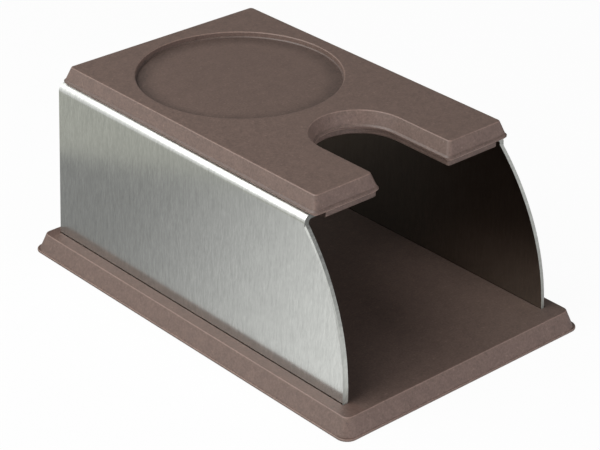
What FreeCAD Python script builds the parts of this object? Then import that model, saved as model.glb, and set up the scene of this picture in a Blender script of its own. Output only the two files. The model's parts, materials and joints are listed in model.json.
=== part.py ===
# Espresso tamping station: a folded steel body between two moulded silicone mats.
# Frame: X across the station, Y from the open front (-Y) to the back (+Y), Z up.
# The origin is the middle of the underside of the base mat. All sizes are in millimetres and degrees.

import FreeCAD, Part
import math
import os

import Sketcher

doc = FreeCAD.newDocument("TampingStation")

# Driving dimensions
driving = {
    # base mat: the tray that the station stands on
    "baseWidth": 118.0,
    "baseHeight": 7.5,
    "baseFlangeHeight": 1.0,
    "baseFlangeReach": 0.5,
    "baseFlangeRound": 0.4,
    "baseSlopeRun": 2.8,
    "baseTopRadius": 2.6,
    "baseFootRadius": 4.6,
    # steel body: one sheet folded to an inverted U
    "sheet": 2.0,
    "bendInside": 1.4,
    "bodyHeight": 67.4,
    "bodyFromFront": 10.7,
    "bodyFromBack": 7.15,
    "plateFromSide": 10.7,
    "plateSetback": 23.45,
    "panelLean": 2.0,
    "curveRadius": 86.0,
    "curveStart": 4.5,
    "panelBevel": 0.5,
    # slot for the neck of the portafilter, as cut in the plate
    "slotRadius": 20.1,
    "slotCentre": 24.15,
    "slotMouthRadius": 0.8,
    # grooves in the base mat for the feet of the panels
    "grooveDepth": 4.5,
    "grooveGap": 0.15,
    "grooveEndGap": 0.2,
    # top mat: a pad on the plate with a flange round its foot
    "matHeight": 6.8,
    "matFlangeHeight": 1.9,
    "matFlangeReach": 0.7,
    "matFlangeBevel": 0.6,
    "matFlangeUndercut": 0.8,
    "matSlopeRun": 1.65,
    "matCornerRadius": 1.6,
    "matSideStep": 1.1,
    "matBackStep": 0.4,
    # skirt of the top mat, which covers the plate's edge round the slot and along the front
    "skirtGap": 0.15,
    "skirtWall": 2.6,
    "skirtSetback": 0.95,
    "skirtBelow": 0.4,
    "skirtFromSide": 7.0,
    "skirtBevel": 0.6,
    # recess that the tamper stands in, by its distances from the plate's edges and slot
    "recessFromSide": 9.3,
    "recessFromSlot": 7.05,
    "recessFromBack": 9.4,
    "recessDepth": 2.2,
    "recessBevel": 0.4,
    # small round on the upper edges of both mats
    "edgeRound": 0.5,
}

sizes = doc.addObject("Spreadsheet::Sheet", "Sizes")
for row, (alias, number) in enumerate(driving.items(), start=1):
    sizes.set("A%d" % row, alias)
    sizes.set("B%d" % row, str(number))
    sizes.setAlias("B%d" % row, alias)
doc.recompute()

# Sizes and places worked out from the driving dimensions, as expressions on the sheet.
# The length of the station is what its slot and recess need one behind the other.
plate_half = "(Sizes.baseWidth / 2 - Sizes.plateFromSide)"
lean_slope = "tan(Sizes.panelLean * 1deg)"
foot_half = "(%s + Sizes.bodyHeight * %s)" % (plate_half, lean_slope)
recess_radius = "(%s - Sizes.recessFromSide)" % plate_half
slot_end = "(Sizes.bodyFromFront + Sizes.plateSetback + Sizes.slotCentre + Sizes.slotRadius)"
recess_end = "(%s + Sizes.recessFromSlot + 2 * %s)" % (slot_end, recess_radius)
base_half = "((%s + Sizes.recessFromBack + Sizes.bodyFromBack) / 2)" % recess_end
body_front = "(Sizes.bodyFromFront - %s)" % base_half
body_back = "(%s - Sizes.bodyFromBack)" % base_half
plate_front = "(%s + Sizes.plateSetback)" % body_front
slot_y = "(%s + Sizes.slotCentre)" % plate_front
recess_y = "(%s - Sizes.recessFromBack - %s)" % (body_back, recess_radius)
skirt_face = "(Sizes.skirtGap + Sizes.skirtWall)"
flange_edge = "(%s + Sizes.skirtSetback)" % skirt_face
slope_foot = "(%s - Sizes.matFlangeReach)" % flange_edge
slope_top = "(%s - Sizes.matSlopeRun)" % slope_foot
flange_radius = "(Sizes.matCornerRadius + Sizes.matFlangeReach)"


def value(expression):
    """The number that an expression on the sheet has now."""
    result = sizes.evalExpression(expression)
    return float(getattr(result, "Value", result))


def new_body(label):
    body = doc.addObject("PartDesign::Body", label)
    body.Label = label
    return body


def new_sketch(body, role, name, height="0"):
    """A sketch on one of the body's own origin planes, lifted along its normal."""
    sketch = body.newObject("Sketcher::SketchObject", name)
    plane = [feature for feature in body.Origin.OriginFeatures if feature.Role == role][0]
    sketch.AttachmentSupport = [(plane, "")]
    sketch.MapMode = "FlatFace"
    sketch.setExpression("AttachmentOffset.Base.z", height)
    return sketch


def bind(sketch, name, expression, *constraint):
    """A dimension of a sketch that follows an expression on the sheet."""
    index = sketch.addConstraint(Sketcher.Constraint(*constraint, value(expression)))
    sketch.renameConstraint(index, name)
    sketch.setExpression("Constraints." + name, expression)


def add_line(sketch, x0, y0, x1, y1):
    line = Part.LineSegment(FreeCAD.Vector(x0, y0, 0), FreeCAD.Vector(x1, y1, 0))
    index = sketch.addGeometry(line, False)
    if abs(x0 - x1) < 1e-7:
        sketch.addConstraint(Sketcher.Constraint("Vertical", index))
    if abs(y0 - y1) < 1e-7:
        sketch.addConstraint(Sketcher.Constraint("Horizontal", index))
    return index


def add_arc(sketch, x, y, radius, start, end):
    """An arc about x, y, counter-clockwise between two angles in degrees."""
    circle = Part.Circle(FreeCAD.Vector(x, y, 0), FreeCAD.Vector(0, 0, 1), radius)
    arc = Part.ArcOfCircle(circle, math.radians(start), math.radians(end))
    return sketch.addGeometry(arc, False)


def join(sketch, kind, *ends):
    """Joins neighbours end to end; each pair is (edge, point), (edge, point)."""
    for (first, first_end), (second, second_end) in ends:
        sketch.addConstraint(Sketcher.Constraint(kind, first, first_end, second, second_end))


def rounded_rectangle(sketch, half_x, half_y, radius):
    x, y, r = value(half_x), value(half_y), value(radius)
    front = add_line(sketch, -x + r, -y, x - r, -y)
    front_right = add_arc(sketch, x - r, -y + r, r, -90, 0)
    right = add_line(sketch, x, -y + r, x, y - r)
    back_right = add_arc(sketch, x - r, y - r, r, 0, 90)
    back = add_line(sketch, x - r, y, -x + r, y)
    back_left = add_arc(sketch, -x + r, y - r, r, 90, 180)
    left = add_line(sketch, -x, y - r, -x, -y + r)
    front_left = add_arc(sketch, -x + r, -y + r, r, 180, 270)
    ring = [front, front_right, right, back_right, back, back_left, left, front_left]
    join(sketch, "Tangent", *[((ring[i - 1], 2), (ring[i], 1)) for i in range(len(ring))])
    for corner in (back_right, back_left, front_left):
        sketch.addConstraint(Sketcher.Constraint("Equal", front_right, corner))
    bind(sketch, "corner", radius, "Radius", front_right)
    bind(sketch, "right", half_x, "DistanceX", -1, 1, right, 1)
    bind(sketch, "left", half_x, "DistanceX", left, 1, -1, 1)
    bind(sketch, "back", half_y, "DistanceY", -1, 1, back, 1)
    bind(sketch, "front", half_y, "DistanceY", front, 1, -1, 1)


def slotted_outline(sketch, half_x, front_y, back_y, slot_radius):
    """A rectangle with the U-shaped slot let in from its front edge."""
    x, front, back = value(half_x), value(front_y), value(back_y)
    slot, middle = value(slot_radius), value(slot_y)
    front_left = add_line(sketch, -x, front, -slot, front)
    side_left = add_line(sketch, -slot, front, -slot, middle)
    round_end = add_arc(sketch, 0, middle, slot, 0, 180)
    side_right = add_line(sketch, slot, middle, slot, front)
    front_right = add_line(sketch, slot, front, x, front)
    right = add_line(sketch, x, front, x, back)
    rear = add_line(sketch, x, back, -x, back)
    left = add_line(sketch, -x, back, -x, front)
    join(sketch, "Tangent", ((side_left, 2), (round_end, 2)), ((round_end, 1), (side_right, 1)))
    ring = [side_right, front_right, right, rear, left, front_left, side_left]
    join(sketch, "Coincident", *[((ring[i], 2), (ring[i + 1], 1)) for i in range(len(ring) - 1)])
    sketch.addConstraint(Sketcher.Constraint("PointOnObject", round_end, 3, -2))
    bind(sketch, "slot", slot_radius, "Radius", round_end)
    bind(sketch, "slotMiddle", slot_y, "DistanceY", -1, 1, round_end, 3)
    bind(sketch, "right", half_x, "DistanceX", -1, 1, right, 1)
    bind(sketch, "left", half_x, "DistanceX", left, 1, -1, 1)
    bind(sketch, "frontLeft", front_y, "DistanceY", -1, 1, front_left, 1)
    bind(sketch, "frontRight", front_y, "DistanceY", -1, 1, front_right, 1)
    bind(sketch, "back", back_y, "DistanceY", -1, 1, rear, 1)


def mat_outline(sketch, reach, inset="0"):
    """The mat's outline at a reach past the plate's edge; inset draws in the other sides."""
    half_x = "(%s - Sizes.matSideStep - %s)" % (plate_half, inset)
    back_y = "(%s - Sizes.matBackStep - %s)" % (body_back, inset)
    slotted_outline(sketch, half_x, "(%s - %s)" % (plate_front, reach), back_y,
                    "(Sizes.slotRadius - %s)" % reach)


def pad(body, sketch, length, name, down=False, run=None):
    """Pads a sketch; run is how far its sides slope out over the length."""
    feature = body.newObject("PartDesign::Pad", name)
    feature.Profile = sketch
    feature.Reversed = down
    feature.setExpression("Length", length)
    if run:
        feature.setExpression("TaperAngle", "atan(%s / %s)" % (run, length))
    sketch.Visibility = False
    doc.recompute()
    return feature


def cut(body, sketch, name, depth=None):
    """Pockets a sketch to a depth, or right through both ways, and tests that it took something off."""
    before = body.Shape.Volume
    feature = body.newObject("PartDesign::Pocket", name)
    feature.Profile = sketch
    if depth:
        feature.setExpression("Length", depth)
    else:
        feature.Type = "ThroughAll"
        feature.SideType = "Symmetric"
    doc.recompute()
    if body.Shape.Volume > before - 1e-6:
        raise ValueError("%s takes nothing off %s" % (name, body.Label))
    return feature


def dress_edges(body, name, kind, expression, test):
    """Rounds or bevels every edge of the body whose points pass a test."""
    base = body.Tip
    chosen = []
    for index, edge in enumerate(base.Shape.Edges, start=1):
        if test(edge.discretize(5)):
            chosen.append("Edge%d" % index)
    feature = body.newObject("PartDesign::" + kind, name)
    feature.Base = (base, chosen)
    feature.setExpression("Radius" if kind == "Fillet" else "Size", expression)
    doc.recompute()


def round_edges(body, name, radius, test):
    dress_edges(body, name, "Fillet", radius, test)


def bevel_edges(body, name, size, test):
    dress_edges(body, name, "Chamfer", size, test)


def is_level(points):
    heights = [point.z for point in points]
    return max(heights) - min(heights) < 1e-4


def at_height(height):
    level = value(height)
    return lambda points: all(abs(point.z - level) < 1e-4 for point in points)


# Base mat
def make_base_mat():
    body = new_body("base_mat")
    foot = new_sketch(body, "XY_Plane", "FootOutline")
    rounded_rectangle(foot, "(Sizes.baseWidth / 2)", base_half, "Sizes.baseFootRadius")
    pad(body, foot, "Sizes.baseFlangeHeight", "FootFlange")
    round_edges(body, "FlangeEdges", "Sizes.baseFlangeRound", is_level)

    drawn_in = "(Sizes.baseFlangeReach + Sizes.baseSlopeRun)"
    top = new_sketch(body, "XY_Plane", "TopOutline", "Sizes.baseHeight")
    rounded_rectangle(top, "(Sizes.baseWidth / 2 - %s)" % drawn_in,
                      "(%s - %s)" % (base_half, drawn_in), "Sizes.baseTopRadius")
    pad(body, top, "(Sizes.baseHeight - Sizes.baseFlangeHeight)", "SlopingBlock",
        down=True, run="Sizes.baseSlopeRun")
    round_edges(body, "TopEdge", "Sizes.edgeRound", at_height("Sizes.baseHeight"))

    grooves = new_sketch(body, "XY_Plane", "PanelGrooves", "Sizes.baseHeight")
    seat_half = "(%s - Sizes.grooveDepth * %s)" % (foot_half, lean_slope)
    outer = "(%s + Sizes.grooveGap)" % foot_half
    inner = "(%s - Sizes.sheet / cos(Sizes.panelLean * 1deg) - Sizes.grooveGap)" % seat_half
    near = "(%s - Sizes.grooveEndGap)" % body_front
    far = "(%s + Sizes.grooveEndGap)" % body_back
    for side, label in ((-1, "left"), (1, "right")):
        groove_rectangle(grooves, side, label, inner, outer, near, far)
    cut(body, grooves, "Grooves", "Sizes.grooveDepth")
    return body


def groove_rectangle(sketch, side, label, inner, outer, near, far):
    x0, x1 = sorted((side * value(inner), side * value(outer)))
    y0, y1 = value(near), value(far)
    front = add_line(sketch, x0, y0, x1, y0)
    right = add_line(sketch, x1, y0, x1, y1)
    back = add_line(sketch, x1, y1, x0, y1)
    left = add_line(sketch, x0, y1, x0, y0)
    join(sketch, "Coincident", ((front, 2), (right, 1)), ((right, 2), (back, 1)),
         ((back, 2), (left, 1)), ((left, 2), (front, 1)))
    near_line, far_line = (left, right) if side > 0 else (right, left)
    origin_first = side > 0
    for edge, name, place in ((near_line, "Inner", inner), (far_line, "Outer", outer)):
        ends = (-1, 1, edge, 1) if origin_first else (edge, 1, -1, 1)
        bind(sketch, label + name, place, "DistanceX", *ends)
    bind(sketch, label + "Near", near, "DistanceY", -1, 1, front, 1)
    bind(sketch, label + "Far", far, "DistanceY", -1, 1, back, 1)


# Steel body
def make_steel_body():
    body = new_body("steel_body")
    section = new_sketch(body, "XZ_Plane", "Section", "-%s" % body_back)
    x_top, x_foot, height = value(plate_half), value(foot_half), value("Sizes.bodyHeight")
    foot = add_line(section, -x_foot, 0, x_foot, 0)
    right = add_line(section, x_foot, 0, x_top, height)
    top = add_line(section, x_top, height, -x_top, height)
    left = add_line(section, -x_top, height, -x_foot, 0)
    join(section, "Coincident", ((foot, 2), (right, 1)), ((right, 2), (top, 1)),
         ((top, 2), (left, 1)), ((left, 2), (foot, 1)))
    bind(section, "topRight", plate_half, "DistanceX", -1, 1, top, 1)
    bind(section, "topLeft", plate_half, "DistanceX", top, 2, -1, 1)
    bind(section, "footRight", foot_half, "DistanceX", -1, 1, foot, 2)
    bind(section, "footLeft", foot_half, "DistanceX", foot, 1, -1, 1)
    bind(section, "height", "Sizes.bodyHeight", "DistanceY", foot, 2, right, 2)
    section.addConstraint(Sketcher.Constraint("PointOnObject", foot, 1, -1))
    pad(body, section, "(%s - %s)" % (body_back, body_front), "Block")

    def at_bend(points):
        return all(abs(point.z - height) + abs(abs(point.x) - x_top) < 1e-4 for point in points)

    round_edges(body, "Bends", "(Sizes.bendInside + Sizes.sheet)", at_bend)
    fold_sheet(body)

    curve = new_sketch(body, "YZ_Plane", "FrontCurve")
    front_curve(curve)
    cut(body, curve, "FrontOfPanels")
    bevel_edges(body, "FrontEdge", "Sizes.panelBevel", outer_front_edge)

    slot = new_sketch(body, "XY_Plane", "PlateOutline", "Sizes.bodyHeight")
    plate_slot(slot)
    cut(body, slot, "Slot", "2 * Sizes.sheet")
    body.setExpression("Placement.Base.z", "Sizes.baseHeight - Sizes.grooveDepth")
    return body


def fold_sheet(body):
    """Hollows the block to the sheet's thickness, open in front, behind and below."""
    base = body.Tip
    front, back = value(body_front), value(body_back)
    open_faces = []
    for index, face in enumerate(base.Shape.Faces, start=1):
        centre = face.CenterOfMass
        if min(abs(centre.y - front), abs(centre.y - back), abs(centre.z)) < 1e-4:
            open_faces.append("Face%d" % index)
    feature = body.newObject("PartDesign::Thickness", "FoldedSheet")
    feature.Base = (base, open_faces)
    feature.setExpression("Value", "Sizes.sheet")
    feature.Reversed = True
    feature.Join = 1
    doc.recompute()


def outer_front_edge(points):
    """Tests for the curved front edge of a panel, on its outer side."""
    height, x_top, front = value("Sizes.bodyHeight"), value(plate_half), value(plate_front)
    slope, half_sheet = value(lean_slope), value("Sizes.sheet / 2")
    forward = all(point.y < front + 1e-4 for point in points) and points[2].y < front - 1e-3
    outer = all(abs(point.x) > x_top + (height - point.z) * slope - half_sheet for point in points)
    return forward and outer


def front_curve(sketch):
    """What is cut away in front of the panels' curved edges and the plate's front edge."""
    radius, start = value("Sizes.curveRadius"), value("Sizes.curveStart")
    front, plate, height = value(body_front), value(plate_front), value("Sizes.bodyHeight")
    centre = front + radius
    meet = start + math.sqrt(radius ** 2 - (centre - plate) ** 2)
    edge_angle = math.degrees(math.atan2(meet - start, plate - centre))
    over, ahead = height + value("Sizes.sheet"), front - value("Sizes.sheet")
    curve = add_arc(sketch, centre, start, radius, edge_angle, 180)
    rise = add_line(sketch, plate, meet, plate, over)
    roof = add_line(sketch, plate, over, ahead, over)
    fall = add_line(sketch, ahead, over, ahead, start)
    step = add_line(sketch, ahead, start, front, start)
    join(sketch, "Coincident", ((curve, 1), (rise, 1)), ((rise, 2), (roof, 1)),
         ((roof, 2), (fall, 1)), ((fall, 2), (step, 1)))
    join(sketch, "Perpendicular", ((step, 2), (curve, 2)))
    bind(sketch, "radius", "Sizes.curveRadius", "Radius", curve)
    bind(sketch, "panelFront", body_front, "DistanceX", -1, 1, step, 2)
    bind(sketch, "plateFront", plate_front, "DistanceX", -1, 1, rise, 1)
    bind(sketch, "start", "Sizes.curveStart", "DistanceY", -1, 1, step, 2)
    bind(sketch, "over", "(Sizes.bodyHeight + Sizes.sheet)", "DistanceY", -1, 1, roof, 1)
    bind(sketch, "ahead", "(%s - Sizes.sheet)" % body_front, "DistanceX", -1, 1, fall, 1)


def plate_slot(sketch):
    """The slot with its rounded mouth, open past the plate's front edge."""
    slot, mouth = value("Sizes.slotRadius"), value("Sizes.slotMouthRadius")
    middle, front = value(slot_y), value(plate_front)
    round_end = add_arc(sketch, 0, middle, slot, 0, 180)
    side_left = add_line(sketch, -slot, middle, -slot, front + mouth)
    mouth_left = add_arc(sketch, -slot - mouth, front + mouth, mouth, -90, 0)
    mouth_line = add_line(sketch, -slot - mouth, front, slot + mouth, front)
    mouth_right = add_arc(sketch, slot + mouth, front + mouth, mouth, 180, 270)
    side_right = add_line(sketch, slot, front + mouth, slot, middle)
    join(sketch, "Tangent", ((round_end, 2), (side_left, 1)), ((side_left, 2), (mouth_left, 2)),
         ((mouth_left, 1), (mouth_line, 1)), ((mouth_line, 2), (mouth_right, 2)),
         ((mouth_right, 1), (side_right, 1)), ((side_right, 2), (round_end, 1)))
    sketch.addConstraint(Sketcher.Constraint("Equal", mouth_left, mouth_right))
    sketch.addConstraint(Sketcher.Constraint("PointOnObject", round_end, 3, -2))
    bind(sketch, "slot", "Sizes.slotRadius", "Radius", round_end)
    bind(sketch, "mouth", "Sizes.slotMouthRadius", "Radius", mouth_left)
    bind(sketch, "middle", slot_y, "DistanceY", -1, 1, round_end, 3)
    bind(sketch, "plateFront", plate_front, "DistanceY", -1, 1, mouth_line, 1)


# Top mat
def make_top_mat():
    body = new_body("top_mat")
    flange = new_sketch(body, "XY_Plane", "FlangeOutline")
    mat_outline(flange, flange_edge)
    pad(body, flange, "Sizes.matFlangeHeight", "Flange")
    round_edges(body, "FlangeCorners", flange_radius, corner_above("0"))

    top = new_sketch(body, "XY_Plane", "TopOutline", "Sizes.matHeight")
    mat_outline(top, slope_top, "(Sizes.matFlangeReach + Sizes.matSlopeRun)")
    pad(body, top, "(Sizes.matHeight - Sizes.matFlangeHeight)", "SlopingBlock",
        down=True, run="Sizes.matSlopeRun")
    round_edges(body, "SlopeCorners", "Sizes.matCornerRadius", corner_above("Sizes.matFlangeHeight"))

    skirt = new_sketch(body, "XY_Plane", "SkirtOutline")
    skirt_outline(skirt)
    pad(body, skirt, "(Sizes.sheet + Sizes.skirtBelow)", "Skirt", down=True)
    round_edges(body, "SkirtMouth", "(%s - Sizes.skirtSetback)" % flange_radius, skirt_mouth_corner)
    bevel_edges(body, "FlangeEdges", "Sizes.matFlangeBevel", flange_rim("Sizes.matFlangeHeight"))
    bevel_edges(body, "FlangeUnderside", "Sizes.matFlangeUndercut", flange_rim("0"))
    bevel_edges(body, "SkirtEdge", "Sizes.skirtBevel", skirt_lower_edge)

    recess = new_sketch(body, "XY_Plane", "Recess", "Sizes.matHeight")
    circle = Part.Circle(FreeCAD.Vector(0, value(recess_y), 0), FreeCAD.Vector(0, 0, 1), value(recess_radius))
    ring = recess.addGeometry(circle, False)
    recess.addConstraint(Sketcher.Constraint("PointOnObject", ring, 3, -2))
    bind(recess, "radius", recess_radius, "Radius", ring)
    bind(recess, "middle", recess_y, "DistanceY", -1, 1, ring, 3)
    cut(body, recess, "TamperRecess", "Sizes.recessDepth")

    floor = "(Sizes.matHeight - Sizes.recessDepth)"
    bevel_edges(body, "RecessFloorEdge", "Sizes.recessBevel", at_height(floor))
    round_edges(body, "TopEdges", "Sizes.edgeRound", at_height("Sizes.matHeight"))
    body.setExpression("Placement.Base.z", "Sizes.baseHeight - Sizes.grooveDepth + Sizes.bodyHeight")
    return body


def corner_above(height):
    """Tests for an upright edge above a height that is no seam of the slot's round end."""
    level, middle = value(height), value(slot_y)

    def test(points):
        seam = abs(points[0].y - middle) < 1e-3
        return not is_level(points) and not seam and min(point.z for point in points) > level - 1e-4
    return test


def past_plate(point):
    """How far a point stands out past the plate's front edge or into its slot."""
    into_slot = math.hypot(point.x, max(point.y - value(slot_y), 0))
    return max(value(plate_front) - point.y, value("Sizes.slotRadius") - into_slot)


def flange_rim(height):
    """Tests for an edge of the flange's rim at a height."""
    half_x, back = value("%s - Sizes.matSideStep" % plate_half), value("%s - Sizes.matBackStep" % body_back)
    reach, inward = value(flange_edge), value("Sizes.matFlangeReach / 2")
    on_level = at_height(height)

    def test(points):
        nearest = max(max(abs(point.x) - half_x, point.y - back, past_plate(point) - reach) for point in points)
        return on_level(points) and nearest > -inward
    return test


def skirt_mouth_corner(points):
    x = value("Sizes.slotRadius - %s" % skirt_face)
    y = value("%s - %s" % (plate_front, skirt_face))
    return all(abs(abs(point.x) - x) + abs(point.y - y) < 1e-3 for point in points)


def skirt_lower_edge(points):
    """Tests for the lower edge of the skirt's open side, away from the plate."""
    bottom = value("-(Sizes.sheet + Sizes.skirtBelow)")
    half_wall = value("Sizes.skirtGap + Sizes.skirtWall / 2")
    return all(abs(point.z - bottom) < 1e-4 and past_plate(point) > half_wall for point in points)


def skirt_outline(sketch):
    """The band along the plate's front edge and round its slot."""
    face = "(%s - %s)" % (plate_front, skirt_face)
    inner = "(%s - Sizes.skirtGap)" % plate_front
    face_radius = "(Sizes.slotRadius - %s)" % skirt_face
    inner_radius = "(Sizes.slotRadius - Sizes.skirtGap)"
    end_x = "(%s - Sizes.skirtFromSide)" % plate_half
    y0, y1, middle, end = value(face), value(inner), value(slot_y), value(end_x)
    x0, x1 = value(face_radius), value(inner_radius)
    front_left = add_line(sketch, -end, y0, -x0, y0)
    side_left = add_line(sketch, -x0, y0, -x0, middle)
    face_round = add_arc(sketch, 0, middle, x0, 0, 180)
    side_right = add_line(sketch, x0, middle, x0, y0)
    front_right = add_line(sketch, x0, y0, end, y0)
    end_right = add_line(sketch, end, y0, end, y1)
    inner_right = add_line(sketch, end, y1, x1, y1)
    back_right = add_line(sketch, x1, y1, x1, middle)
    inner_round = add_arc(sketch, 0, middle, x1, 0, 180)
    back_left = add_line(sketch, -x1, middle, -x1, y1)
    inner_left = add_line(sketch, -x1, y1, -end, y1)
    end_left = add_line(sketch, -end, y1, -end, y0)
    join(sketch, "Tangent", ((side_left, 2), (face_round, 2)), ((face_round, 1), (side_right, 1)),
         ((back_right, 2), (inner_round, 1)), ((inner_round, 2), (back_left, 1)))
    for chain in ([side_right, front_right, end_right, inner_right, back_right],
                  [back_left, inner_left, end_left, front_left, side_left]):
        join(sketch, "Coincident", *[((chain[i], 2), (chain[i + 1], 1)) for i in range(len(chain) - 1)])
    sketch.addConstraint(Sketcher.Constraint("PointOnObject", face_round, 3, -2))
    sketch.addConstraint(Sketcher.Constraint("Coincident", face_round, 3, inner_round, 3))
    bind(sketch, "face", face_radius, "Radius", face_round)
    bind(sketch, "inner", inner_radius, "Radius", inner_round)
    bind(sketch, "middle", slot_y, "DistanceY", -1, 1, face_round, 3)
    bind(sketch, "faceLeft", face, "DistanceY", -1, 1, front_left, 1)
    bind(sketch, "faceRight", face, "DistanceY", -1, 1, front_right, 1)
    bind(sketch, "innerLeft", inner, "DistanceY", -1, 1, inner_left, 1)
    bind(sketch, "innerRight", inner, "DistanceY", -1, 1, inner_right, 1)
    bind(sketch, "endRight", end_x, "DistanceX", -1, 1, end_right, 1)
    bind(sketch, "endLeft", end_x, "DistanceX", end_left, 1, -1, 1)


def write_parts(bodies):
    doc.recompute()
    for item in doc.Objects:
        if "Invalid" in item.State or "Error" in item.State:
            raise ValueError("%s is not built: %s" % (item.Label, item.State))
    os.makedirs("parts", exist_ok=True)
    for body in bodies:
        shape = body.Shape
        if shape.isNull() or not shape.isValid():
            raise ValueError("%s has no valid shape" % body.Label)
        shape.exportStep("parts/%s.step" % body.Label)
        box = shape.BoundBox
        print("%-10s %d solid, %6.2f cm3, x %.2f %.2f, y %.2f %.2f, z %.2f %.2f"
              % (body.Label, len(shape.Solids), shape.Volume / 1000,
                 box.XMin, box.XMax, box.YMin, box.YMax, box.ZMin, box.ZMax))


write_parts([make_base_mat(), make_steel_body(), make_top_mat()])
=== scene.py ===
# Espresso tamping station: folded brushed sheet, silicone top mat and silicone base mat.
import json
import math

import bpy
from mathutils import Matrix, Vector

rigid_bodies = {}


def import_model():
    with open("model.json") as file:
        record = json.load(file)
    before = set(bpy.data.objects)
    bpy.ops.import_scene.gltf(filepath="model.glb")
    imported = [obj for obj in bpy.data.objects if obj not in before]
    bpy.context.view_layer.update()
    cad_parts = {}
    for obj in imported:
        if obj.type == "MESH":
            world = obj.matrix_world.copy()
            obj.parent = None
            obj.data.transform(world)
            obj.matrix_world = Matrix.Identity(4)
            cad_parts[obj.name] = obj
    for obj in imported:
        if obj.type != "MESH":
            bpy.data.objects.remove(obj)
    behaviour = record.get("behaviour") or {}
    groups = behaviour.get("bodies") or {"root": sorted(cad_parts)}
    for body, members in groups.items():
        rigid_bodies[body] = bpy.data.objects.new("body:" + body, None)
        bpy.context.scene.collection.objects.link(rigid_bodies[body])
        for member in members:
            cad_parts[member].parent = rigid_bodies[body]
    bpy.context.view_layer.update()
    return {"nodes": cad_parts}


for leftover in list(bpy.data.objects):
    bpy.data.objects.remove(leftover)
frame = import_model()
print("frame in place:", sorted(frame["nodes"]))


class Signal:
    # one output socket of a node, which can be added, multiplied and so on

    def __init__(self, bench, socket):
        self.bench = bench
        self.socket = socket

    def calc(self, operation, left, right=0.0, clamp=False):
        settings = {"operation": operation, "use_clamp": clamp}
        return self.bench.node("ShaderNodeMath", settings, {0: left, 1: right})

    def __add__(self, other):
        return self.calc("ADD", self, other)

    def __radd__(self, other):
        return self.calc("ADD", other, self)

    def __sub__(self, other):
        return self.calc("SUBTRACT", self, other)

    def __rsub__(self, other):
        return self.calc("SUBTRACT", other, self)

    def __mul__(self, other):
        return self.calc("MULTIPLY", self, other)

    def __abs__(self):
        return self.calc("ABSOLUTE", self)

    def root(self):
        return self.calc("SQRT", self)

    def atMost(self, limit):
        return self.calc("MINIMUM", self, limit)

    def limited(self):
        return self.calc("ADD", self, 0.0, clamp=True)


perMetre = 1000.0  # patterns are counted to the millimetre, object coordinates in metres
noiseMiddle = 0.5
white = (1.0, 1.0, 1.0, 1.0)


class Bench:
    # a node tree with the few ways in which this file adds nodes to it

    def __init__(self, tree):
        self.tree = tree
        tree.nodes.clear()

    def node(self, kind, settings=None, sockets=None, output=0):
        made = self.tree.nodes.new(kind)
        for name, value in (settings or {}).items():
            setattr(made, name, value)
        for name, value in (sockets or {}).items():
            if isinstance(value, Signal):
                self.tree.links.new(value.socket, made.inputs[name])
            else:
                made.inputs[name].default_value = value
        if not made.outputs:
            return made
        return Signal(self, made.outputs[output])

    def noise(self, counts, detail, roughness):
        # the counts say how fine the pattern is along x, y and z
        scale = [count * perMetre for count in counts]
        spot = self.node("ShaderNodeTexCoord", output="Object")
        place = self.node("ShaderNodeMapping", None, {"Vector": spot, "Scale": scale})
        sockets = {"Vector": place, "Scale": 1.0, "Detail": detail, "Roughness": roughness}
        return self.node("ShaderNodeTexNoise", None, sockets)

    def remap(self, value, low, high, newLow, newHigh):
        sockets = {"Value": value, "From Min": low, "From Max": high, "To Min": newLow, "To Max": newHigh}
        return self.node("ShaderNodeMapRange", {"interpolation_type": "SMOOTHSTEP"}, sockets)

    def rise(self, value, start, end):
        return self.remap(value, start, end, 0.0, 1.0)

    def fall(self, value, start, end):
        return self.remap(value, start, end, 1.0, 0.0)

    def near(self, value, middle, inner, outer):
        # 1 within the inner distance of the middle, 0 beyond the outer one
        return self.fall(abs(value - middle), inner, outer)

    def mixColour(self, factor, first, second, blend="MIX"):
        settings = {"data_type": "RGBA", "blend_type": blend}
        return self.node("ShaderNodeMix", settings, {0: factor, 6: first, 7: second}, output=2)

    def tint(self, first, second):
        return self.mixColour(1.0, first, second, "MULTIPLY")

    def grey(self, value):
        return self.node("ShaderNodeCombineColor", None, {0: value, 1: value, 2: value})

    def split(self, kind):
        # x, y and z of one kind of texture coordinates
        vector = self.node("ShaderNodeTexCoord", output=kind)
        return [self.node("ShaderNodeSeparateXYZ", None, {0: vector}, output=axis) for axis in range(3)]

    def along(self, parts, way):
        # how far a place or a direction reaches along another one
        return sum(part * share for part, share in zip(parts, way))

    def ray(self, kind):
        return self.node("ShaderNodeLightPath", output=kind)


def newMaterial(name):
    made = bpy.data.materials.new(name)
    made.use_nodes = True
    return made, Bench(made.node_tree)


def finishMaterial(bench, sockets):
    shader = bench.node("ShaderNodeBsdfPrincipled", None, sockets)
    bench.node("ShaderNodeOutputMaterial", None, {"Surface": shader})


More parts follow.
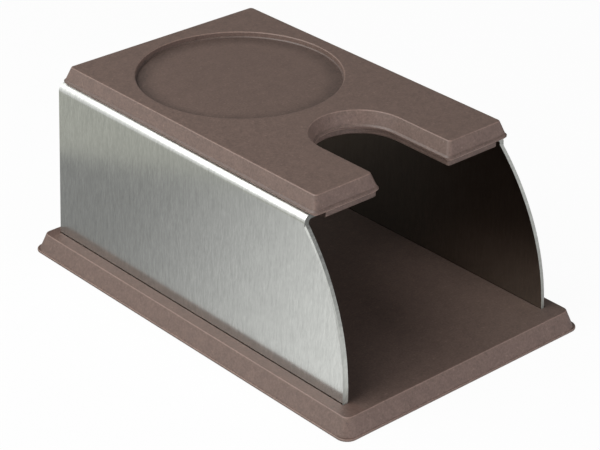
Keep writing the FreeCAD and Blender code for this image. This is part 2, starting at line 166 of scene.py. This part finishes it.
silicone = {
    "colour": (0.152, 0.103, 0.084, 1.0),
    "smoothest": 0.44,
    "roughest": 0.56,
    "gloss": 0.5,
    "cloud": {"counts": (0.30, 0.30, 0.30), "detail": 4.0, "roughness": 0.6},
    "cloudContrast": 0.44,
    "grain": {"counts": (1.2, 1.2, 1.2), "detail": 3.0, "roughness": 0.7},
    "grainContrast": 1.10,
    "grainRange": (0.2, 0.8),
    "dust": {"counts": (0.9, 0.9, 0.9), "detail": 1.0, "roughness": 0.5},
    "dustRange": (0.66, 0.76),
    "dustTone": 0.3,
    "reliefDepth": 0.00005,
    "reliefStrength": 0.6,
    "cloudRelief": 0.5,
    # every tone below is painted light or shade, which makes its own part of the mats lighter or darker than
    # the rest
    "edgeHighlightTone": 0.48,  # painted highlight on the small rounds along the upper edges, on the sides that look to the front and left
    "edgeTilt": (0.42, 0.60),
    "edgeLevel": (0.93, 0.99),
    "edgeSides": (-0.2, 0.2),
    "topEdgeFrom": (0.0765, 0.0767),
    "baseTop": (0.0079, 0.0081),
    "levelShadeTone": -0.17,  # painted shade on the top of the base mat
    "levelTilt": (0.985, 0.995),
    "stripShadeTint": (0.97, 0.91, 0.90, 1.0),  # and a painted tint on its strip left of the panel, a little redder, standing in for how the panel's reflected light falls on it
    "stripSide": (-0.0475, -0.0465),
    "lipBounceTone": 0.9,  # painted bounce light on the flange's lower edge, which takes light from the bend
    "lipFrom": (0.0700, 0.0702),
    "lipTilt": -0.65,
    "lipSpread": (0.20, 0.25),
    "bevelShadeTone": -0.2,  # painted shade on the bevel on the flange
    "bevelHeight": 0.0720,
    "bevelReach": (0.0003, 0.0004),
    "bevelTilt": 0.7,
    "bevelSpread": (0.1, 0.2),
    "skirtShadeTone": -0.22,  # painted shadow on the skirt below the flange
    "skirtHeight": 0.0684,
    "skirtReach": (0.0019, 0.0020),
    "recessShadeTone": -0.07,  # painted shade in the whole recess
    "recessCentre": 0.03445,
    "recessRadius": 0.0390,
    "recessRim": (0.0005, 0.0007),
    "recessTop": (0.0766, 0.0768),
    "recessBottom": (0.0744, 0.0746),
    "floorShadeTone": -0.33,  # painted shade on the recess's floor towards the wall
    "floorFade": (-0.0085, -0.0020),
    # painted light on the recess's wall
    "wallLightTone": 0.15,
    "wallFrom": (-0.0005, -0.0002),
    "footShadeTone": -0.40,  # painted shade at the foot of that wall
    "footTop": (0.0754, 0.0755),
}


def makeSilicone():
    made, bench = newMaterial("moulded_silicone")
    cloud, grain, specks = [bench.noise(**silicone[name]) for name in ("cloud", "grain", "dust")]
    x, y, height = bench.split("Object")
    sideways, endways, upward = bench.split("Normal")

    topEdge = bench.rise(height, *silicone["topEdgeFrom"])
    base = bench.fall(height, *silicone["baseTop"])
    # painted highlight along the upper edge rounds that face the front and left
    highlightMask = bench.rise(upward, *silicone["edgeTilt"]) * bench.fall(upward, *silicone["edgeLevel"])
    highlightMask = highlightMask * (topEdge + base) * bench.fall(sideways + endways, *silicone["edgeSides"])
    # painted shade on the base mat's top
    level = bench.rise(upward, *silicone["levelTilt"]) * base
    # painted tint on the base mat's strip beside the panel, standing in for reflected light
    strip = level * bench.fall(x, *silicone["stripSide"])
    # painted bounce light on the flange's lower edge
    lipBounce = bench.near(upward, silicone["lipTilt"], *silicone["lipSpread"])
    lipBounce = lipBounce * bench.rise(height, *silicone["lipFrom"])
    # painted shade on the flange's bevel
    bevel = bench.near(height, silicone["bevelHeight"], *silicone["bevelReach"])
    bevel = bevel * bench.near(upward, silicone["bevelTilt"], *silicone["bevelSpread"])
    # painted shadow on the skirt under the flange
    skirt = bench.near(height, silicone["skirtHeight"], *silicone["skirtReach"])

    # painted shade in the recess, with painted light on its wall and painted shade at the wall's foot
    y = y - silicone["recessCentre"]
    beyond = (x * x + y * y).root() - silicone["recessRadius"]
    recess = bench.fall(height, *silicone["recessTop"]) * bench.rise(height, *silicone["recessBottom"])
    recess = recess * bench.fall(beyond, *silicone["recessRim"])
    wall = recess * bench.rise(beyond, *silicone["wallFrom"])
    floor = recess * bench.rise(beyond, *silicone["floorFade"]) - wall
    foot = wall * bench.fall(height, *silicone["footTop"])

    tone = 1.0 + (cloud - noiseMiddle) * silicone["cloudContrast"]
    tone = tone + (grain - noiseMiddle) * silicone["grainContrast"]
    tone = tone + bench.rise(specks, *silicone["dustRange"]) * silicone["dustTone"]
    # the painted highlights, painted light and painted shade are added to the tone here
    tone = tone + highlightMask * silicone["edgeHighlightTone"] + level * silicone["levelShadeTone"] + lipBounce * silicone["lipBounceTone"]
    tone = tone + bevel * silicone["bevelShadeTone"] + skirt * silicone["skirtShadeTone"]
    tone = tone + recess * silicone["recessShadeTone"] + floor * silicone["floorShadeTone"]
    tone = tone + wall * silicone["wallLightTone"] + foot * silicone["footShadeTone"]
    colour = bench.tint(silicone["colour"], bench.grey(tone))
    colour = bench.mixColour(strip, colour, bench.tint(colour, silicone["stripShadeTint"]))
    bump = bench.node("ShaderNodeBump", None, {
        "Strength": silicone["reliefStrength"],
        "Distance": silicone["reliefDepth"],
        "Height": grain + cloud * silicone["cloudRelief"],
    })
    finishMaterial(bench, {
        "Base Color": colour,
        "Roughness": bench.remap(grain, *silicone["grainRange"], silicone["smoothest"], silicone["roughest"]),
        "Specular IOR Level": silicone["gloss"],
        "Normal": bump,
    })
    return made


steel = {
    "colour": (0.556, 0.566, 0.542, 1.0),
    "smoothest": 0.18,
    "roughest": 0.23,
    "anisotropy": 0.5,
    # the brush ran up the panels and over the bends, so the pattern is short along y and long across it
    "fine": {"counts": (0.45, 2.2, 0.45), "detail": 2.0, "roughness": 0.6},
    "broad": {"counts": (0.12, 0.8, 0.12), "detail": 3.0, "roughness": 0.6},
    "streakRange": (0.3, 0.7),
    "streakContrast": 0.84,
    "brushDepth": 0.000004,
    "brushStrength": 0.5,
    "endTilt": (0.30, 0.50),
    "cutTilt": (0.10, 0.40),
    "cutRoughen": 0.55,  # the cut edges of the sheet are duller than its faces
    # painted light and shade on the cut edges: darker on the left, lighter on the right, standing in for what
    # they reflect
    "leftCutPaintedTone": 0.5,
    "footCutPaintedTone": 1.3,  # painted reflection: the left one is lighter towards its foot
    "footFade": (0.015, 0.060),
    "rightCutPaintedTone": 1.1,
    "rimTilt": (0.40, 0.60),
    "leftRimPaintedTone": 0.95,  # painted reflection: the bevel along them is brighter on the left
    "rightRimPaintedTone": 0.7,
    "sides": (-0.01, 0.01),
    "bendRoughen": 0.22,  # and the bends are duller too
    "bendHeight": (0.0665, 0.0695),
    "insideShadeColour": (0.300, 0.272, 0.232, 1.0),  # painted shade: the sheet is darker inside
    "insideReach": (-0.030, -0.020),
    "deepShadeColour": (0.110, 0.098, 0.080, 1.0),  # painted shade too, most of all towards the back
    "deepFade": (-0.070, 0.030),
}


def makeSteel():
    made, bench = newMaterial("brushed_sheet")
    streaks = (bench.noise(**steel["fine"]) + bench.noise(**steel["broad"])) * 0.5
    x, y, height = bench.split("Object")
    sideways, endways, _ = bench.split("Normal")

    ends = bench.rise(abs(endways), *steel["endTilt"])
    cut = ends * bench.fall(abs(sideways), *steel["cutTilt"])
    rim = ends * bench.rise(abs(sideways), *steel["rimTilt"])
    bend = bench.rise(height, *steel["bendHeight"]) * (1.0 - (cut + rim).limited())
    # painted shade inside the sheet, deepest towards the back
    inside = bench.fall(x * sideways, *steel["insideReach"])
    deep = bench.rise(y, *steel["deepFade"])

    # painted light and shade on the cut edges and their bevels
    leftCutPainted = bench.remap(height, *steel["footFade"], steel["footCutPaintedTone"], steel["leftCutPaintedTone"])
    cutPaintedTone = bench.remap(x, *steel["sides"], leftCutPainted, steel["rightCutPaintedTone"])
    rimPaintedTone = bench.remap(x, *steel["sides"], steel["leftRimPaintedTone"], steel["rightRimPaintedTone"])
    tone = 1.0 + (streaks - noiseMiddle) * steel["streakContrast"]
    tone = tone + cut * (cutPaintedTone - 1.0) + rim * (rimPaintedTone - 1.0)
    dark = bench.mixColour(deep, steel["insideShadeColour"], steel["deepShadeColour"])
    colour = bench.mixColour(inside, steel["colour"], dark)
    roughness = bench.remap(streaks, *steel["streakRange"], steel["smoothest"], steel["roughest"])
    bump = bench.node("ShaderNodeBump", None, {
        "Strength": steel["brushStrength"],
        "Distance": steel["brushDepth"],
        "Height": streaks,
    })
    finishMaterial(bench, {
        "Base Color": bench.tint(colour, bench.grey(tone)),
        "Metallic": 1.0,
        "Roughness": roughness + (cut + rim) * steel["cutRoughen"] + bend * steel["bendRoughen"],
        "Anisotropic": steel["anisotropy"],
        "Normal": bump,
    })
    return made


siliconeFinish = makeSilicone()
steelFinish = makeSteel()
finishes = {"base_mat": siliconeFinish, "top_mat": siliconeFinish, "steel_body": steelFinish}
for nodeName, finish in finishes.items():
    frame["nodes"][nodeName].material_slots[0].material = finish
print("finishes made")


floorPaper = {
    "half": 2.0,
    "drop": 0.0001,  # just clear of the base mat's underside
    "colour": (0.78, 0.78, 0.78, 1.0),
    "glow": 0.96,  # how much of the floor's white the camera sees without its shadows
    # the rest is a painted reflection, what polished metal sees of the floor, with painted shade falling off
    # behind the left side
    "sweepWay": (-0.58, -0.81),
    "sweepRange": (-0.040, 0.150),
    "sweepDark": 0.36,
    "sweepLight": 1.35,
    "sweepLimit": 1.10,
    "acrossWay": (-0.83, 0.56),
    "nearEdge": (0.173, 0.179),  # past this the painted reflection has another colour
    "pastShadeColour": (0.590, 0.593, 0.546, 1.0),
    "farEdge": (0.30, 0.45),  # and past this it is white again
    "rightFrom": (-0.055, -0.035),  # right of this the painted reflection is darker, as painted shade ahead of the mat and behind it
    "aheadTo": (-0.100, -0.080),
    "aheadShadeTone": 0.45,
    "behindFrom": (0.080, 0.100),
    "behindShadeTone": 0.06,
}


def makeFloor():
    half, z = floorPaper["half"], -floorPaper["drop"]
    mesh = bpy.data.meshes.new("floor")
    corners = [(-half, -half, z), (half, -half, z), (half, half, z), (-half, half, z)]
    mesh.from_pydata(corners, [], [(0, 1, 2, 3)])
    floor = bpy.data.objects.new("floor", mesh)
    bpy.context.scene.collection.objects.link(floor)
    made, bench = newMaterial("floor_paper")

    x, y, _ = bench.split("Object")
    # painted reflection for glossy rays: a painted falloff of light and darker patches of painted shade on
    # the floor
    falloff = bench.remap(bench.along((x, y), floorPaper["sweepWay"]), *floorPaper["sweepRange"],
                          floorPaper["sweepDark"], floorPaper["sweepLight"])
    falloff = falloff.atMost(floorPaper["sweepLimit"])
    across = bench.along((x, y), floorPaper["acrossWay"])
    past = bench.rise(across, *floorPaper["nearEdge"])
    far = bench.rise(across, *floorPaper["farEdge"])
    right = bench.rise(x, *floorPaper["rightFrom"])
    ahead = right * bench.fall(y, *floorPaper["aheadTo"])
    behind = right * bench.rise(y, *floorPaper["behindFrom"])
    sweep = bench.mixColour(past, bench.grey(falloff), floorPaper["pastShadeColour"])
    sweep = bench.mixColour(far, sweep, white)
    sweep = bench.mixColour(ahead, sweep, bench.grey(floorPaper["aheadShadeTone"]))
    sweep = bench.mixColour(behind, sweep, bench.grey(floorPaper["behindShadeTone"]))

    glossy = bench.ray("Is Glossy Ray")
    share = bench.ray("Is Camera Ray") * floorPaper["glow"] + glossy + bench.ray("Is Transmission Ray")
    seen = bench.mixColour(glossy, white, sweep)
    matte = bench.node("ShaderNodeBsdfDiffuse", None, {"Color": floorPaper["colour"]})
    glow = bench.node("ShaderNodeEmission", None, {"Color": seen, "Strength": 1.0})
    both = bench.node("ShaderNodeMixShader", None, {0: share.limited(), 1: matte, 2: glow})
    # from below the floor is clear, so that the base mat's underside can be looked at
    below = bench.node("ShaderNodeNewGeometry", output="Backfacing")
    clear = bench.node("ShaderNodeBsdfTransparent")
    both = bench.node("ShaderNodeMixShader", None, {0: below, 1: both, 2: clear})
    bench.node("ShaderNodeOutputMaterial", None, {"Surface": both})
    mesh.materials.append(made)


sky = {
    "ambient": 0.035,  # how much light it gives
    # the rest is what polished metal sees of it: darker behind the right side
    "shadeWay": (-0.9, -0.45),
    "shadeRange": (-0.75, 0.15),
    "shadeTone": 0.2,
    "glowWay": (-0.40, 0.65, 0.64),  # and a bright patch above the back on the left, for the bend
    "glowRange": (0.70, 0.96),
    "glowTone": 0.55,
}


def makeWorld():
    world = bpy.data.worlds.new("studio")
    world.use_nodes = True
    bpy.context.scene.world = world
    bench = Bench(world.node_tree)
    way = bench.split("Generated")
    shade = bench.remap(bench.along(way[:2], sky["shadeWay"]), *sky["shadeRange"], sky["shadeTone"], 1.0)
    patch = bench.rise(bench.along(way, sky["glowWay"]), *sky["glowRange"])
    glossy = bench.ray("Is Glossy Ray")
    straight = (bench.ray("Is Camera Ray") + bench.ray("Is Transmission Ray")).limited()
    strength = straight + glossy * (shade + patch * sky["glowTone"])
    strength = strength + (1.0 - (straight + glossy).limited()) * sky["ambient"]
    background = bench.node("ShaderNodeBackground", None, {"Color": white, "Strength": strength})
    bench.node("ShaderNodeOutputWorld", None, {"Surface": background})


# where each lamp stands, in degrees round the object from the front and above the floor
lamps = {
    "left_softbox": {
        "azimuth": -106, "elevation": 48, "distance": 0.9,
        "width": 0.7, "height": 0.8, "power": 8.5,
        "colour": (1.0, 1.0, 1.0), "mirrored": True,
    },
    "front_softbox": {
        "azimuth": 0, "elevation": 7, "distance": 0.9,
        "width": 0.4, "height": 0.4, "power": 5.0,
        "colour": (0.98, 1.0, 1.09), "mirrored": False,
    },
}
lampTarget = Vector((0.0, 0.0, 0.03))


def direction(azimuth, elevation):
    turn, rise = math.radians(azimuth), math.radians(elevation)
    return Vector((math.sin(turn) * math.cos(rise), -math.cos(turn) * math.cos(rise), math.sin(rise)))


def makeLamp(name, facts):
    light = bpy.data.lights.new(name, "AREA")
    light.shape = "RECTANGLE"
    light.size = facts["width"]
    light.size_y = facts["height"]
    light.energy = facts["power"]
    light.color = facts["colour"]
    lamp = bpy.data.objects.new(name, light)
    bpy.context.scene.collection.objects.link(lamp)
    toward = direction(facts["azimuth"], facts["elevation"])
    lamp.location = toward * facts["distance"] + lampTarget
    lamp.rotation_mode = "QUATERNION"
    lamp.rotation_quaternion = toward.to_track_quat("Z", "Y")
    lamp.visible_glossy = facts["mirrored"]


# the photograph's viewpoint, found from the object's own edges
viewpoint = {
    "azimuth": -42.149,
    "elevation": 28.327,
    "roll": 0.795,
    "target": (0.0, -0.00017, 0.026994),
    "distance": 0.816023,
    "lens": 130.888,
    "sensor": 36.0,
    "clipStart": 0.01,
}


def makeCamera():
    azimuth, roll = math.radians(viewpoint["azimuth"]), math.radians(viewpoint["roll"])
    back = direction(viewpoint["azimuth"], viewpoint["elevation"])
    level = Vector((math.cos(azimuth), math.sin(azimuth), 0.0))
    upright = back.cross(level)
    right = level * math.cos(roll) + upright * math.sin(roll)
    above = upright * math.cos(roll) - level * math.sin(roll)
    data = bpy.data.cameras.new("camera")
    data.sensor_width = viewpoint["sensor"]
    data.lens = viewpoint["lens"]
    data.clip_start = viewpoint["clipStart"]
    camera = bpy.data.objects.new("camera", data)
    bpy.context.scene.collection.objects.link(camera)
    stand = Vector(viewpoint["target"]) + back * viewpoint["distance"]
    turn = Matrix((right, above, back)).transposed().to_4x4()
    camera.matrix_world = Matrix.Translation(stand) @ turn
    bpy.context.scene.camera = camera


makeFloor()
makeWorld()
for lampName, lampFacts in lamps.items():
    makeLamp(lampName, lampFacts)
makeCamera()
bpy.context.scene.view_settings.view_transform = "Standard"
print("studio lit")

bpy.context.view_layer.update()
